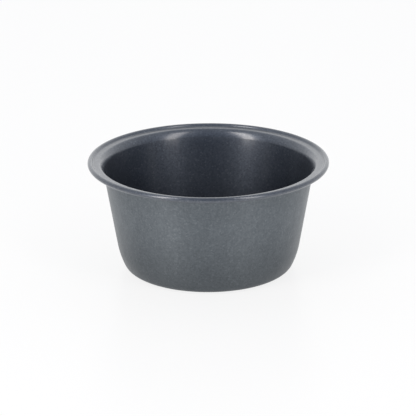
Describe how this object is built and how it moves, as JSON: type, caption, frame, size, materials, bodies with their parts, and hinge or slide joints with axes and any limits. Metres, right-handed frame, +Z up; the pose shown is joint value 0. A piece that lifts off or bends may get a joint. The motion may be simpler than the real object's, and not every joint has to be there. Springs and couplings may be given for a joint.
{
  "type": "mini cake mould",
  "caption": "Round deep-drawn mini cake mould with a flat base, rounded base corner, leaning wall, flared mouth, narrow flange and raised rolled bead, coated inside and out.",
  "frame": {"origin": "centre of the flat base, on the surface that the mould stands on", "axes": "+Z up along the mould's axis, out of its open mouth; +X and +Y are any two square directions across the round body"},
  "size_m": [0.118, 0.118, 0.055],
  "materials": {
    "drawn_steel": "bare cold-rolled carbon steel, seen only at the cut edge inside the curl",
    "nonstick_film": "satin blue-grey non-stick film with fine metallic fleck",
    "outside_film": "satin blue-grey heat-proof film with fine metallic fleck"
  },
  "bodies": {
    "root": {"steel_shell": "drawn_steel", "inner_coat": "nonstick_film", "outer_coat": "outside_film"}
  },
  "joints": []
}
